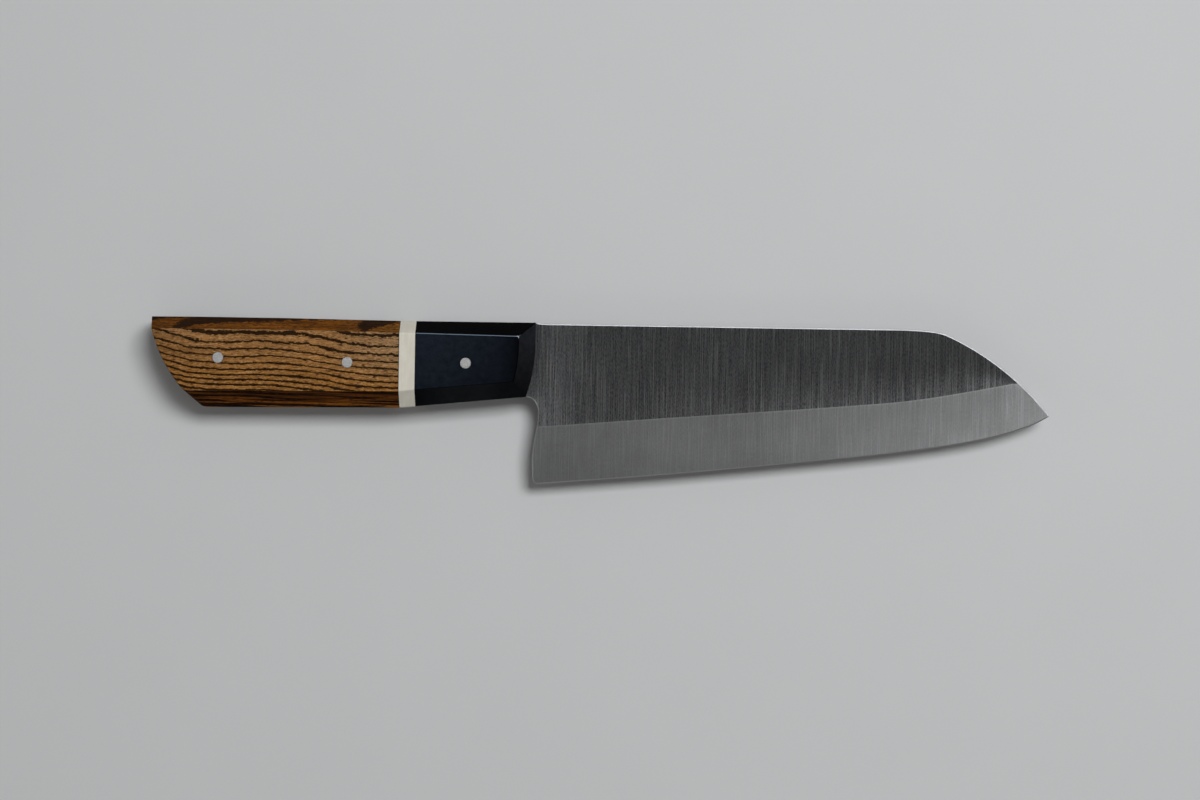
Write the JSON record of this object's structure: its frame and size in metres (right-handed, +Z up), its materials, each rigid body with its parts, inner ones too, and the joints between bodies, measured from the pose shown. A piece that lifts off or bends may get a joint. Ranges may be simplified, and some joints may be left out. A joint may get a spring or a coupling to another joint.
{
  "type": "santoku knife",
  "caption": "Full-tang kitchen knife with a wide bevelled blade and clipped point, black bolsters, ivory spacers and pinned striped-wood scales, for slicing and chopping.",
  "frame": {"origin": "middle of the knife's box, on the plane that it lies on", "axes": "+X along the spine towards the tip, +Y from the cutting edge towards the spine, +Z up through the blade's thickness: the knife lies flat on its left side"},
  "size_m": [0.2868, 0.0518, 0.018],
  "materials": {
    "blade_steel": "satin, ground with fine lines square to the spine",
    "bolster_black": "satin black, slightly blue in the light",
    "spacer_ivory": "satin ivory",
    "grip_wood": "oiled tan-brown wood with dark wavy stripes along the handle",
    "pin_steel": "sanded flush with the scales",
    "cured_epoxy": "dark adhesive, seen only as a hairline at the joint"
  },
  "bodies": {
    "root": {"blade": "blade_steel", "bolster_right": "bolster_black", "bolster_left": "bolster_black", "spacer_right": "spacer_ivory", "spacer_left": "spacer_ivory", "grip_scale_right": "grip_wood", "grip_scale_left": "grip_wood", "bolster_pin": "pin_steel", "front_pin": "pin_steel", "rear_pin": "pin_steel", "epoxy_bed_right": "cured_epoxy", "epoxy_bed_left": "cured_epoxy"}
  },
  "joints": []
}
